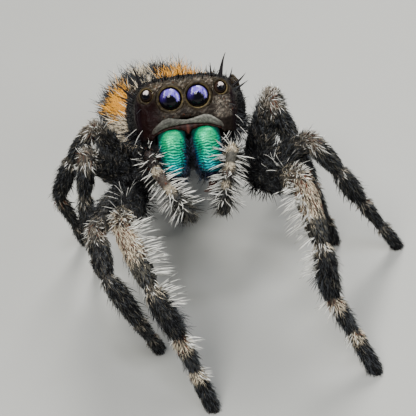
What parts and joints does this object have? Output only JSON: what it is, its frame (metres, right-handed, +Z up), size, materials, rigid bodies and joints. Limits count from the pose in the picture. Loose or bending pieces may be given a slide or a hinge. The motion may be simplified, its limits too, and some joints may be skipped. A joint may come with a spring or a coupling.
{
  "type": "bold jumping spider model",
  "caption": "Life-size still model of a bold jumping spider, raised high on its front legs, with green jaws, large front eyes and bristly legs.",
  "frame": {"origin": "on the floor, in the middle of the spider's footprint", "axes": "+Z up, the spider faces -Y, +X to its left"},
  "size_m": [0.0126, 0.0196, 0.0088],
  "materials": {
    "shell": "dark brown shell with a dull shine and sparse grey scales",
    "jaw": "iridescent green turning blue at the edges, finely wrinkled",
    "lens": "black, glossy, with a violet sheen",
    "leg": "black with pale scale patches and white fringes",
    "feeler": "grey-brown under dense white hair",
    "fur": "grey-black fur with cream hair and orange spots"
  },
  "bodies": {
    "root": {"abdomen": "fur", "carapace": "shell", "eye_main_left": "lens", "eye_main_right": "lens", "eye_middle_left": "lens", "eye_middle_right": "lens", "eye_rear_left": "lens", "eye_rear_right": "lens", "eye_side_left": "lens", "eye_side_right": "lens", "jaw_left": "jaw", "jaw_right": "jaw", "leg1_left_coxa": "leg", "leg1_left_femur": "leg", "leg1_left_foot": "leg", "leg1_left_tibia": "leg", "leg1_right_coxa": "leg", "leg1_right_femur": "leg", "leg1_right_foot": "leg", "leg1_right_tibia": "leg", "leg2_left_coxa": "leg", "leg2_left_femur": "leg", "leg2_left_foot": "leg", "leg2_left_tibia": "leg", "leg2_right_coxa": "leg", "leg2_right_femur": "leg", "leg2_right_foot": "leg", "leg2_right_tibia": "leg", "leg3_left_coxa": "leg", "leg3_left_femur": "leg", "leg3_left_foot": "leg", "leg3_left_tibia": "leg", "leg3_right_coxa": "leg", "leg3_right_femur": "leg", "leg3_right_foot": "leg", "leg3_right_tibia": "leg", "leg4_left_coxa": "leg", "leg4_left_femur": "leg", "leg4_left_foot": "leg", "leg4_left_tibia": "leg", "leg4_right_coxa": "leg", "leg4_right_femur": "leg", "leg4_right_foot": "leg", "leg4_right_tibia": "leg", "palp_left_lower": "feeler", "palp_left_upper": "feeler", "palp_right_lower": "feeler", "palp_right_upper": "feeler", "spinnerets": "leg", "sternum": "leg"}
  },
  "joints": []
}
